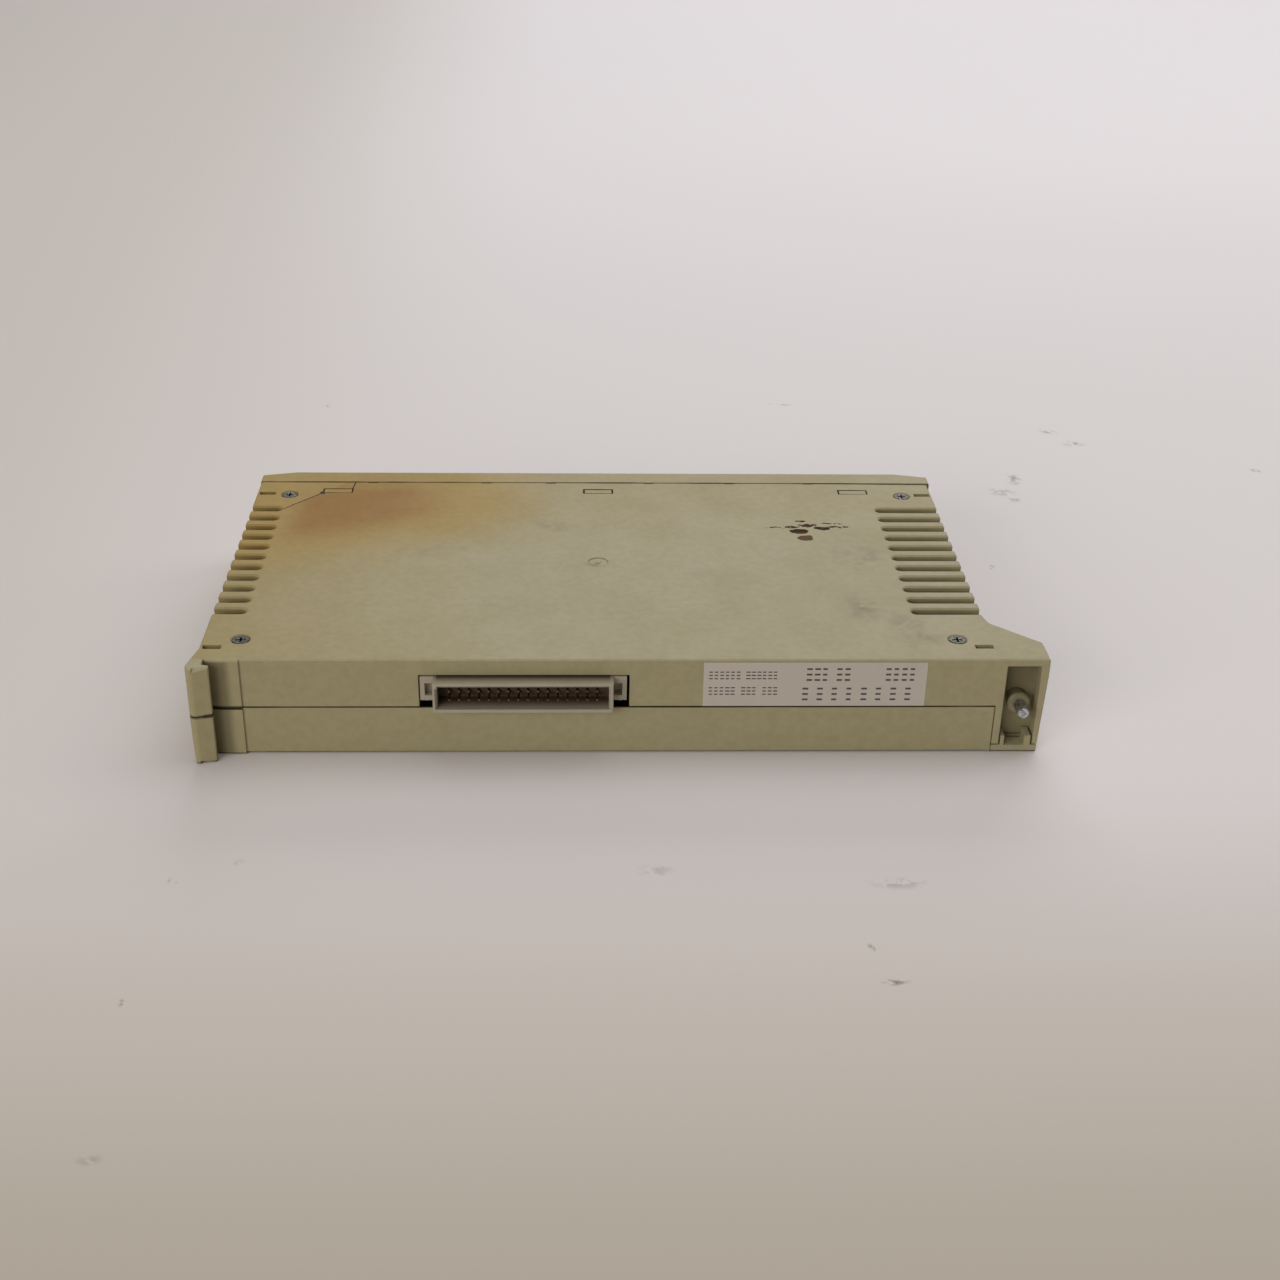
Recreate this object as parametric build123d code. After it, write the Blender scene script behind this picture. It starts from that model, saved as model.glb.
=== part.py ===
"""Slot-in digital input module: a flat clamshell case that hooks onto a backplane at one end and
is held by a captive screw at the other, with a bus connector at its rear and a hinged door over the
field terminals at its front.

Frame while modelling (millimetres): X along the length from the hook end to the screw end, Y from
the rear (connector) face at 0 to the front door, Z through the thickness with the case lying on its
lower side at 0.  export_part() moves everything so that the origin is under the middle of the box.
"""
import os

from build123d import *

# ---------------------------------------------------------------- case
THICKNESS = 28.0              # lower side to upper side
HALF_LENGTH = 111.0           # hook end and screw end lie this far either side of the middle
WALL = 2.0
SPLIT_Z = 14.0                # where the two half shells meet
SPLIT_GAP = 0.3
SIDE_LEFT = -109.0            # outer faces of the case's two narrow ends
SIDE_RIGHT = 98.0
SHELL_FRONT = 113.0           # where the shells end and the front frame begins
EDGE_BREAK = 0.35
CAVITY = (SIDE_LEFT + WALL, SIDE_RIGHT - WALL, WALL)   # low x, high x, low y of the hollow

# louvres at both narrow ends
LOUVRE_COUNT = 11
LOUVRE_PITCH = 6.62
LOUVRE_FIRST_Y = 27.03
LOUVRE_WIDTH = 3.2
LOUVRE_BEVEL = 0.45           # chamfer where each slot meets the broad side
SLAT_CORNER_R = 1.2           # outer corner of each slat
LOUVRE_LEFT_END = -100.0      # where the slots stop, going inwards
LOUVRE_RIGHT_END = 79.0
LOUVRE_SIDE_LAND = 3.0        # uncut side wall left beside the split

# case screws, latch slots and snap windows
SCREW_X = (-99.1, 88.65)
SCREW_Y = (11.1, 103.8)
BOSS_R = 3.3
BOSS_SPLIT_Z = 20.1           # the upper and lower screw bosses meet here
PILOT_R = 1.15
SCREW_HEAD_R = 2.2
SLOT_SIZE = (4.8, 2.0)
SLOT_CENTRES = ((-105.8, 6.8), (95.0, 7.0), (-105.8, 104.5), (95.0, 104.5))
SLOT_DEPTH = 3.2
WINDOW_X = (-84.7, -5.0, 73.8)
WINDOW_Y = (105.1, 108.2)
WINDOW_HALF = 4.5
EDGE_NOTCH_X = (-74.6, -39.6, -19.6, 10.8, 36.0, 60.6)
GATE_MARK = (-5.6, 57.2)      # moulding gate in the middle of the upper side

# hook that hangs on the backplane
HOOK_TIP_Y = -5.75
HOOK_SIDE_Y = -2.6
HOOK_BARB_X = -105.0
HOOK_ARM_X = -107.0
END_BLOCK_X = 98.0            # both end blocks start this far from the middle
END_BLOCK_PROUD = 0.45
HOOK_GAP = 0.25               # extra width of the parting line behind the hook
END_DRAFT = 0.85              # how far the outermost faces lean in towards the lower side

# ear with the pocket for the mounting screw
EAR_FLOOR_Z = 2.5             # the upper shell's ear stops here, above the lower shell's foot
FOOT_Z = 2.1
POCKET_X = (100.0, 109.0)
POCKET_DEPTH = 5.5
MOUNT_X, MOUNT_Z = 104.5, 14.0
BUSH_R = 2.5                  # bush that keeps the screw captive in the ear's wall
BUSH_HOLE_R = 2.6
BUSH_COLLAR_R = 3.1
BUSH_COLLAR_Y = (1.2, 2.6)
COUNTERBORE_R = 4.1
EAR_WALL_Y = POCKET_DEPTH + WALL
THREAD_R = 1.5                # M3
NECK_R = 1.25                 # the screw is necked down where it turns in the bush
MOUNT_HEAD_R = 3.2
MOUNT_TIP_Y = -4.1

# front frame and door
FRAME_BACK = SHELL_FRONT + 0.5
FRONT_Y = 121.0
FRAME_X = (-109.3, 98.9)
BEVEL = (10.3, 2.35)          # how far the front is bevelled at each end, along x and y
DOOR_X = (-98.2, 87.8)
DOOR_GAP = 0.3
FACIA_TOP_Z = 8.2             # fixed indicator facia below, door above
HINGE_Y, HINGE_Z = 119.6, 24.2
HINGE_BARREL_R = FRONT_Y - HINGE_Y
HINGE_PIP_R = 0.9
HINGE_HOLE_R = 0.98
HINGE_PIP_LENGTH = 1.7
DOOR_PLATE = 1.8
DOOR_LOW_Z = FACIA_TOP_Z + DOOR_GAP
LEGEND_X = (-93.0, 82.0)
LEGEND_Z = (10.6, 22.4)
LEGEND_RECESS = 1.1

# circuit boards
BOARD_Z = (23.0, 24.6)        # components hang below it
BOARD_X = (-98.0, 77.0)         # stops short of the louvres at both ends
BOARD_Y = (2.6, 103.0)
BOARD_CORNER_GAP = 1.5        # between the left screw bosses and the board's notched corners
BOARD_SCREWS = ((-70.0, 32.0), (62.0, 58.0), (-5.0, 62.0))
INDICATOR_BOARD_Y = (103.2, 104.4)
INDICATOR_BOARD_Z = (2.6, 9.0)
LED_Z = 5.0

# bus connector: half-length two-row male header, 2.54 pitch
PITCH = 2.54
COLUMNS = 16
BUS_X = -25.5
BUS_EARS = 53.4               # overall width
BUS_SHROUD = 46.4
BUS_Z = (14.5, 22.9)
BUS_WALL = 1.15
BUS_LEAD_IN = (0.9, 0.8, 0.55) # mouth chamfer: along y, off the top wall, off the end walls
BUS_RIM_Y = -4.2
BUS_EAR_Y = 0.3
BUS_EAR_Z = 15.9
BUS_FLOOR_Y = 2.6
BUS_BACK_Y = 11.0
BUS_HOLE_SPACING = 50.0
BUS_SCREW_Y = 3.8
BUS_SCREW_R = 1.0
BUS_CUTOUT = (-52.5, 1.9, 23.5)   # low x, high x, high z of the window in the rear wall

# field terminals, 5.08 pitch
TERMINAL_PITCH = 5.08
TERMINAL_BLOCKS = 4
TERMINAL_POLES = 8
TERMINAL_START_X = -89.0
TERMINAL_GAP = 0.6
TERMINAL_Y = (93.2, 106.2)
TERMINAL_Z = (9.8, 22.9)
TERMINAL_SCREW_Z = 18.9
TERMINAL_WIRE_Z = 13.2

# rating label on the rear wall
LABEL_X = (21.0, 79.1)
LABEL_Z = (14.3, 27.2)
LABEL_THICK = 0.12

ORIGIN_Y = 57.8               # halfway from the hook's rounded lip to the front


# ---------------------------------------------------------------- helpers
def block(x0, x1, y0, y1, z0, z1):
    """Box between two corners."""
    return Pos((x0 + x1) / 2, (y0 + y1) / 2, (z0 + z1) / 2) * Box(x1 - x0, y1 - y0, z1 - z0)


def slab(points, z0, z1):
    """Plan outline raised from z0 to z1."""
    return Pos(0, 0, z0) * extrude(make_face(Polyline(*points, close=True)), z1 - z0)


def rod_x(x0, x1, y, z, radius):
    return Pos((x0 + x1) / 2, y, z) * Rot(0, 90, 0) * Cylinder(radius, x1 - x0)


def rod_y(x, y0, y1, z, radius):
    return Pos(x, (y0 + y1) / 2, z) * Rot(90, 0, 0) * Cylinder(radius, y1 - y0)


def rod_z(x, y, z0, z1, radius):
    return Pos(x, y, (z0 + z1) / 2) * Cylinder(radius, z1 - z0)


def bar_x(x0, x1, section):
    """A (y, z) section run along x."""
    face = make_face(Polyline(*[(x0, y, z) for y, z in section], close=True))
    return extrude(face, x1 - x0, dir=(1, 0, 0))


def bar_y(y0, y1, section):
    """An (x, z) section run along y."""
    face = make_face(Polyline(*[(x, y0, z) for x, z in section], close=True))
    return extrude(face, y1 - y0, dir=(0, 1, 0))


def upright_edges(solid, spots, reach=0.05):
    """The vertical edges that stand at the given plan points."""
    return [
        edge
        for edge in solid.edges().filter_by(Axis.Z)
        for x, y in spots
        if abs(edge.center().X - x) < reach and abs(edge.center().Y - y) < reach
    ]


def terminal_positions():
    """The x of every pole, block by block."""
    return [
        [
            TERMINAL_START_X
            + block_number * (TERMINAL_POLES * TERMINAL_PITCH + TERMINAL_GAP)
            + (pole + 0.5) * TERMINAL_PITCH
            for pole in range(TERMINAL_POLES)
        ]
        for block_number in range(TERMINAL_BLOCKS)
    ]


def indicator_positions():
    """One light per input on the first three blocks, and one supply light on the last."""
    blocks = terminal_positions()
    return [x for poles in blocks[:3] for x in poles] + [blocks[3][0]]


# ---------------------------------------------------------------- case shells
def case_outline():
    """Plan outline of the case with its hook, without the ear."""
    return [
        (-END_BLOCK_X, 0),
        (SIDE_RIGHT, 0),
        (SIDE_RIGHT, SHELL_FRONT),
        (SIDE_LEFT, SHELL_FRONT),
        (SIDE_LEFT, 6.8),
        (-HALF_LENGTH, HOOK_SIDE_Y),
        (-HALF_LENGTH + 0.5, HOOK_TIP_Y),
        (HOOK_BARB_X, HOOK_TIP_Y + 1.5),
        (HOOK_BARB_X, HOOK_TIP_Y + 2.7),
        (HOOK_ARM_X, HOOK_TIP_Y + 3.3),
        (HOOK_ARM_X, 0.1),
        (-103.0, -END_BLOCK_PROUD),
        (-END_BLOCK_X, -END_BLOCK_PROUD),
    ]


def ear_outline():
    return [
        (SIDE_RIGHT - WALL, 0),
        (HALF_LENGTH, 0),
        (HALF_LENGTH, 7.6),
        (HALF_LENGTH - 0.5, 9.8),
        (SIDE_RIGHT + 1.0, 20.4),
        (SIDE_RIGHT, 24.8),
        (SIDE_RIGHT - WALL, 24.8),
    ]


def ear_hollow():
    """Plan outline of the space inside the ear, behind the pocket."""
    return [
        (POCKET_X[0], EAR_WALL_Y),
        (POCKET_X[1], EAR_WALL_Y),
        (POCKET_X[1], 8.6),
        (POCKET_X[0], 16.8),
    ]


def louvres(z_low, z_high, skin_z):
    """Slots through the broad side at skin_z that run out through the narrow ends."""
    cuts = []
    radius = LOUVRE_WIDTH / 2
    for i in range(LOUVRE_COUNT):
        y = LOUVRE_FIRST_Y + i * LOUVRE_PITCH
        for end, face_x, outwards in (
            (LOUVRE_LEFT_END, SIDE_LEFT, -1),
            (LOUVRE_RIGHT_END, SIDE_RIGHT, 1),
        ):
            centre = end + outwards * radius
            x0, x1 = sorted((centre, face_x + outwards))
            cuts.append(block(x0, x1, y - radius, y + radius, z_low, z_high))
            cuts.append(rod_z(centre, y, z_low, z_high, radius))
            cuts.append(slat_corner(face_x, outwards, y - radius, z_low, z_high))
            cuts += slot_bevel(x0, x1, centre, y, skin_z)
    return cuts


def slot_bevel(x0, x1, end_x, y, skin_z):
    """Chamfers both long edges and the rounded end of one slot at the broad side."""
    radius = LOUVRE_WIDTH / 2
    inwards = 1 if skin_z == 0 else -1
    deep = skin_z + inwards * LOUVRE_BEVEL
    section = [
        (y - radius - LOUVRE_BEVEL, skin_z), (y + radius + LOUVRE_BEVEL, skin_z), (y + radius, deep),
        (y - radius, deep),
    ]
    wide, narrow = radius + LOUVRE_BEVEL, radius
    radii = (wide, narrow) if skin_z == 0 else (narrow, wide)
    end = Pos(end_x, y, (skin_z + deep) / 2) * Cone(*radii, LOUVRE_BEVEL)
    return [bar_x(x0, x1, section), end]


def slat_corner(face_x, outwards, slot_y, z_low, z_high):
    """Rounds the slat's outer corner where a slot leaves the case's end face."""
    centre_x = face_x - outwards * SLAT_CORNER_R
    centre_y = slot_y - SLAT_CORNER_R
    x0, x1 = sorted((centre_x, face_x + outwards * 0.2))
    square = block(x0, x1, centre_y, slot_y + 0.2, z_low, z_high)
    return square - rod_z(centre_x, centre_y, z_low, z_high, SLAT_CORNER_R)


def side_details(z_low, z_high):
    """Latch slots and snap windows through one broad side, between the two heights."""
    cuts = [
        block(x - SLOT_SIZE[0] / 2, x + SLOT_SIZE[0] / 2, y - SLOT_SIZE[1] / 2,
              y + SLOT_SIZE[1] / 2, z_low, z_high)
        for x, y in SLOT_CENTRES
    ]
    cuts += [
        block(x - WINDOW_HALF, x + WINDOW_HALF, *WINDOW_Y, z_low, z_high) for x in WINDOW_X
    ]
    return cuts


def edge_notches(z_low, z_high):
    """Small notches in the front edge of a shell."""
    return [
        block(x - 1.5, x + 1.5, SHELL_FRONT - 0.45, SHELL_FRONT + 1, z_low, z_high)
        for x in EDGE_NOTCH_X
    ]


def seam_wedge(z_low, z_high):
    """The front edge falls back a little towards the right end."""
    return slab(
        [(60.0, SHELL_FRONT), (SIDE_RIGHT + 1, SHELL_FRONT - 0.7), (SIDE_RIGHT + 1, SHELL_FRONT + 1),
         (60.0, SHELL_FRONT + 1)],
        z_low, z_high,
    )


def cable_exit_cut():
    """Opening in the right end where the field wires leave."""
    return block(SIDE_RIGHT - WALL - 1, FRAME_X[1] + 1, 107.6, 118.0, 10.4, 23.6)


def break_edges(solid, z):
    """Breaks the long outer edges that lie at height z."""
    edges = [
        e for e in solid.edges()
        if abs(e.bounding_box().min.Z - z) < 0.01
        and abs(e.bounding_box().max.Z - z) < 0.01
        and e.length > 4
        and abs(e.center().Y - SHELL_FRONT) > 0.1
    ]
    return chamfer(edges, EDGE_BREAK)


def round_hook(shell):
    """Rounds the outer corners of the hook's lip."""
    shell = fillet(upright_edges(shell, [(-HALF_LENGTH + 0.5, HOOK_TIP_Y)]), 1.7)
    return fillet(upright_edges(shell, [(-HALF_LENGTH, HOOK_SIDE_Y)]), 1.0)


def upper_shell():
    low = SPLIT_Z + SPLIT_GAP / 2
    shell = slab(case_outline(), low, THICKNESS) + slab(ear_outline(), EAR_FLOOR_Z, THICKNESS)
    shell = round_hook(shell)
    shell = fillet(upright_edges(shell, [(SIDE_RIGHT + 1.0, 20.4)]), 3.0)
    shell = break_edges(shell, THICKNESS)

    shell -= block(*CAVITY[:2], CAVITY[2], SHELL_FRONT + 1, low - 1, THICKNESS - WALL)
    # below the split the ear stands just outside the lower shell's end wall
    shell -= block(90, END_BLOCK_X + 0.12, -1, 30, 0, low)
    # ear: pocket open to the rear, hollow behind it, and the tube round the screw head
    shell -= block(*POCKET_X, -1, POCKET_DEPTH, 0, THICKNESS - WALL)
    shell -= slab(ear_hollow(), 0, THICKNESS - WALL)
    tube = rod_y(MOUNT_X, EAR_WALL_Y, 18, MOUNT_Z, COUNTERBORE_R + 1.2)
    shell += tube & slab(ear_outline(), 0, THICKNESS)
    shell -= rod_y(MOUNT_X, 0, EAR_WALL_Y + 1, MOUNT_Z, BUSH_HOLE_R)
    shell -= rod_y(MOUNT_X, EAR_WALL_Y, 30, MOUNT_Z, COUNTERBORE_R)

    for x in SCREW_X:
        for y in SCREW_Y:
            shell += rod_z(x, y, BOSS_SPLIT_Z + 0.1, THICKNESS - WALL / 2, BOSS_R)
            shell -= rod_z(x, y, BOSS_SPLIT_Z - 1, THICKNESS + 1, 1.6)
            shell -= Pos(x, y, THICKNESS - 0.75) * Cone(1.6, 2.75, 1.55)
    for x, y in BOARD_SCREWS:
        shell += rod_z(x, y, BOARD_Z[1], THICKNESS - WALL / 2, 2.6)
        shell -= rod_z(x, y, BOARD_Z[1] - 1, THICKNESS - 1.0, 0.95)

    cuts = louvres(SPLIT_Z + LOUVRE_SIDE_LAND, THICKNESS + 1, THICKNESS)
    cuts += side_details(THICKNESS - SLOT_DEPTH, THICKNESS + 1)
    cuts += edge_notches(THICKNESS - WALL - 1, THICKNESS + 1)
    cuts.append(seam_wedge(THICKNESS - WALL - 1, THICKNESS + 1))
    cuts.append(block(BUS_CUTOUT[0], BUS_CUTOUT[1], -1, WALL + 1, low - 1, BUS_CUTOUT[2]))
    cuts.append(cable_exit_cut())
    shell -= cuts
    shell -= ear_draft()
    shell -= lip_bevel(THICKNESS, -1)
    shell -= rod_z(*GATE_MARK, THICKNESS - 0.2, THICKNESS + 1, 2.8)
    shell += rod_z(*GATE_MARK, THICKNESS - 0.3, THICKNESS - 0.02, 0.7)
    return shell


def ear_draft():
    """Wedge that makes the ear's outer face lean in towards the lower side."""
    top = THICKNESS - 5.0
    section = [
        (HALF_LENGTH, top), (HALF_LENGTH + 1, top), (HALF_LENGTH + 1, -1), (HALF_LENGTH - END_DRAFT, -1),
    ]
    return bar_y(-1, 12, section)


def hook_draft(high):
    """The same lean on the lower half of the hook's outer face."""
    section = [
        (-HALF_LENGTH, high), (-HALF_LENGTH - 1, high), (-HALF_LENGTH - 1, -1), (-HALF_LENGTH + END_DRAFT, -1),
    ]
    return bar_y(HOOK_TIP_Y - 1, 7, section)


def ear_seam(z_high):
    """Fine line where the lower shell's rear wall meets the ear block."""
    return block(END_BLOCK_X - 0.12, END_BLOCK_X + 0.12, -0.5, 0.25, -1, z_high + 1)


def lip_bevel(z, towards):
    """Wedge that bevels the hook lip where it meets a broad side; towards is -1 from above."""
    section = [
        (HOOK_TIP_Y - 0.6, z - towards),
        (HOOK_TIP_Y - 0.6, z + towards * 1.7),
        (HOOK_TIP_Y, z + towards * 1.3),
        (HOOK_TIP_Y + 1.9, z - towards * 0.1),
        (HOOK_TIP_Y + 1.9, z - towards),
    ]
    return bar_x(-HALF_LENGTH + 2.0, HOOK_BARB_X + 1, section)


def lower_shell():
    high = SPLIT_Z - SPLIT_GAP / 2
    shell = slab(case_outline(), 0, high) + slab(ear_outline(), 0, FOOT_Z)
    shell = round_hook(shell)
    shell = break_edges(shell, 0)
    # the rear edge of the lower side is rounded off more, between the end blocks
    shell -= bar_x(-END_BLOCK_X, END_BLOCK_X, [(-1, -1), (0.7, -1), (0.7, 0), (0, 0.6), (-1, 0.6)])

    shell -= block(*CAVITY[:2], CAVITY[2], SHELL_FRONT + 1, WALL, high + 1)
    # the foot's two prongs reach up into the pocket, either side of a drain slot
    for x0, x1 in ((POCKET_X[0] + 0.45, POCKET_X[0] + 1.5), (POCKET_X[1] - 2.2, POCKET_X[1] - 0.5)):
        shell += block(x0, x1, 0, POCKET_DEPTH - 1.0, FOOT_Z - 0.5, 5.0)
    shell -= block(POCKET_X[0] + 1.5, POCKET_X[1] - 2.2, 4.1, POCKET_DEPTH - 0.1, 0.8, 5)

    for x in SCREW_X:
        for y in SCREW_Y:
            shell += rod_z(x, y, WALL / 2, BOSS_SPLIT_Z, BOSS_R)
            shell -= rod_z(x, y, 6.0, BOSS_SPLIT_Z + 1, PILOT_R)
    # tongues inside the rear and end walls that close the split
    tongue = (high - 2.0, SPLIT_Z + 1.3)
    shell += block(-104.0, BUS_CUTOUT[0] - 1.5, WALL, WALL + 1.0, *tongue)
    shell += block(BUS_CUTOUT[1] + 1.5, 94.0, WALL, WALL + 1.0, *tongue)
    shell += block(SIDE_LEFT + WALL, SIDE_LEFT + WALL + 1.0, 22.0, 98.0, *tongue)
    shell += block(SIDE_RIGHT - WALL - 1.0, SIDE_RIGHT - WALL, 22.0, 98.0, *tongue)

    cuts = louvres(-1, SPLIT_Z - LOUVRE_SIDE_LAND, 0)
    cuts += side_details(-1, SLOT_DEPTH)
    cuts += edge_notches(-1, WALL + 1)
    cuts.append(cable_exit_cut())
    shell -= cuts
    shell -= ear_seam(high)
    shell -= ear_draft()
    shell -= hook_draft(high)
    shell -= lip_bevel(0, 1)
    # wider parting line behind the hook, and a fall-away under the bus connector
    shell -= block(HOOK_ARM_X - 0.6, -END_BLOCK_X, -1, WALL - 0.05, high - HOOK_GAP, high + 1)
    sill = [(0.4, high + 1), (0.4, high), (WALL + 0.1, high - 1.2), (WALL + 0.1, high + 1)]
    shell -= bar_x(*BUS_CUTOUT[:2], sill)
    return shell


def case_screws():
    """Four countersunk cross-recessed screws."""
    screws = []
    for x in SCREW_X:
        for y in SCREW_Y:
            head = Pos(x, y, THICKNESS - 0.8) * Cone(1.35, SCREW_HEAD_R, 1.3)
            shank = rod_z(x, y, 8.0, THICKNESS - 1.45, PILOT_R - 0.05)
            screws.append(cross_recess(head + shank, x, y, THICKNESS - 0.15))
    return Compound(children=screws)


def cross_recess(screw, x, y, top):
    """Cuts a cross recess into a screw head that faces up."""
    arm = 1.3
    screw -= block(x - arm, x + arm, y - 0.25, y + 0.25, top - 0.9, top + 1)
    screw -= block(x - 0.25, x + 0.25, y - arm, y + arm, top - 0.9, top + 1)
    return screw


# ---------------------------------------------------------------- mounting screw
def screw_bush():
    """Collared bush round the mounting screw; it slides in the ear's wall and keeps it captive."""
    bush = rod_y(MOUNT_X, BUSH_COLLAR_Y[0], EAR_WALL_Y, MOUNT_Z, BUSH_R)
    bush += rod_y(MOUNT_X, *BUSH_COLLAR_Y, MOUNT_Z, BUSH_COLLAR_R)
    rim = [
        e for e in bush.edges().filter_by(GeomType.CIRCLE)
        if abs(e.center().Y - BUSH_COLLAR_Y[0]) < 0.01
    ]
    bush = chamfer(rim, 0.45)
    bush -= rod_y(MOUNT_X, -1, EAR_WALL_Y + 3, MOUNT_Z, NECK_R + 0.08)
    return bush


def mounting_screw():
    """Slotted cheese-head M3 screw; its point stands out behind the rear face."""
    head_y = EAR_WALL_Y + 0.1
    screw = rod_y(MOUNT_X, MOUNT_TIP_Y, BUSH_COLLAR_Y[0] - 0.2, MOUNT_Z, THREAD_R)
    tip = [e for e in screw.edges().filter_by(GeomType.CIRCLE) if e.center().Y < MOUNT_TIP_Y + 0.1]
    screw = chamfer(tip, 0.3)
    screw += rod_y(MOUNT_X, BUSH_COLLAR_Y[0] - 1, head_y + 1, MOUNT_Z, NECK_R)
    screw += rod_y(MOUNT_X, head_y, head_y + 2.6, MOUNT_Z, MOUNT_HEAD_R)
    screw -= block(MOUNT_X - 4, MOUNT_X + 4, head_y + 1.4, head_y + 3, MOUNT_Z - 0.5, MOUNT_Z + 0.5)
    return screw


# ---------------------------------------------------------------- front
def front_outline():
    x0, x1 = FRAME_X
    return [
        (x0, FRAME_BACK),
        (x1, FRAME_BACK),
        (x1, FRONT_Y - BEVEL[1]),
        (x1 - BEVEL[0], FRONT_Y),
        (x0 + BEVEL[0], FRONT_Y),
        (x0, FRONT_Y - BEVEL[1]),
    ]


def end_chamber_outline(right):
    """Plan outline of the hollow in one bevelled end of the frame."""
    outer = FRAME_X[1] - WALL if right else FRAME_X[0] + WALL
    inner = DOOR_X[1] + DOOR_GAP + WALL if right else DOOR_X[0] - DOOR_GAP - WALL
    return [
        (outer, FRAME_BACK - 1),
        (inner, FRAME_BACK - 1),
        (inner, FRONT_Y - 2.2),
        (outer, FRONT_Y - BEVEL[1] - 1.8),
    ]


def front_frame():
    frame = slab(front_outline(), 0, THICKNESS)
    for z in (0, THICKNESS):
        frame = chamfer(
            [e for e in frame.edges() if abs(e.center().Z - z) < 0.01 and e.center().Y > 114],
            EDGE_BREAK,
        )
    x0, x1 = DOOR_X[0] - DOOR_GAP, DOOR_X[1] + DOOR_GAP
    # door opening and wiring space, then the light chamber below the shelf
    frame -= block(x0, x1, FRAME_BACK - 1, FRONT_Y + 1, FACIA_TOP_Z, THICKNESS - WALL)
    frame -= block(x0, x1, FRAME_BACK - 1, FRONT_Y - WALL, WALL, FACIA_TOP_Z - 1.0)
    frame -= slab(end_chamber_outline(False), WALL, THICKNESS - WALL)
    frame -= slab(end_chamber_outline(True), WALL, THICKNESS - WALL)
    for x in indicator_positions():
        frame -= rod_y(x, FRONT_Y - WALL - 1, FRONT_Y + 1, LED_Z, 1.35)
    # finger scoop in the shelf, under the middle of the door
    frame -= block(-14.0, 4.0, FRONT_Y - 1.0, FRONT_Y + 1, FACIA_TOP_Z - 0.9, FACIA_TOP_Z + 1)
    for x in (x0 - WALL - 1, x1 - 1):
        frame -= rod_x(x, x + WALL + 2, HINGE_Y, HINGE_Z, HINGE_HOLE_R)
    # wires leave through the right end
    frame -= block(x1 - 1, FRAME_X[1] + 1, FRAME_BACK - 1, 118.0, 10.4, 23.6)
    frame += snap_arms()
    return frame


def snap_arms():
    """Six arms that reach under the shells and click into their windows."""
    arms = []
    half = WINDOW_HALF - 0.35
    tab = (WINDOW_Y[0] + 0.35, WINDOW_Y[1] - 0.3)
    for x in WINDOW_X:
        for inner, skin, outer in (
            (THICKNESS - WALL - 1.3, THICKNESS - WALL - 0.1, THICKNESS - 0.08),
            (WALL + 1.3, WALL + 0.1, 0.08),
        ):
            arm_z = sorted((inner, skin))
            arms.append(block(x - half, x + half, tab[0] - 0.8, FRAME_BACK + 0.5, *arm_z))
            arms.append(block(x - half, x + half, *tab, *sorted((inner, outer))))
            root_z = sorted((inner, inner + (3.0 if outer > inner else -3.0)))
            arms.append(block(x - half, x + half, FRAME_BACK, FRAME_BACK + 1.5, *root_z))
    return arms


def front_door():
    """Door with its hinge barrel and two moulded pips; it closes down onto the facia."""
    x0, x1 = DOOR_X
    door = block(x0, x1, FRONT_Y - DOOR_PLATE, FRONT_Y, DOOR_LOW_Z, HINGE_Z)
    door = chamfer(
        [e for e in door.edges() if abs(e.center().Y - FRONT_Y) < 0.01 and e.center().Z < 20], 0.3
    )
    door += rod_x(x0, x1, HINGE_Y, HINGE_Z, HINGE_BARREL_R)
    door += rod_x(x0 - HINGE_PIP_LENGTH, x1 + HINGE_PIP_LENGTH, HINGE_Y, HINGE_Z, HINGE_PIP_R)
    door -= block(*LEGEND_X, FRONT_Y - LEGEND_RECESS, FRONT_Y + 1, *LEGEND_Z)
    # stiffening ribs inside
    for x in (-90.0, -48.0, -5.0, 38.0, 80.0):
        door += block(x - 0.6, x + 0.6, FRONT_Y - DOOR_PLATE - 1.2, FRONT_Y - DOOR_PLATE + 0.2,
                      DOOR_LOW_Z + 1.0, HINGE_Z - 2.5)
    return door


def legend_strip():
    """Paper strip in the door's recess."""
    y = FRONT_Y - LEGEND_RECESS
    return block(LEGEND_X[0] + 0.1, LEGEND_X[1] - 0.1, y + 0.02, y + 0.22,
                 LEGEND_Z[0] + 0.1, LEGEND_Z[1] - 0.1)


def legend_cover():
    """Clear cover over the legend strip."""
    y = FRONT_Y - LEGEND_RECESS
    return block(LEGEND_X[0] + 0.1, LEGEND_X[1] - 0.1, y + 0.25, FRONT_Y - 0.1,
                 LEGEND_Z[0] + 0.1, LEGEND_Z[1] - 0.1)


def light_guides():
    """One clear bar with a round guide for each indicator."""
    positions = indicator_positions()
    bar = block(positions[0] - 3, positions[-1] + 3, 109.0, 110.5, LED_Z - 1.6, LED_Z + 1.6)
    for x in positions:
        bar += rod_y(x, 107.8, FRONT_Y - 0.05, LED_Z, 1.25)
    return bar


def indicator_leds():
    """Row of 3 mm lights that face the guides."""
    leds = []
    for x in indicator_positions():
        body = rod_y(x, INDICATOR_BOARD_Y[1] + 0.02, 106.0, LED_Z, 1.5)
        leds.append(body + Pos(x, 106.0, LED_Z) * Sphere(1.4))
    return Compound(children=leds)


def indicator_board():
    positions = indicator_positions()
    return block(positions[0] - 5, positions[-1] + 6, *INDICATOR_BOARD_Y, *INDICATOR_BOARD_Z)


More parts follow.
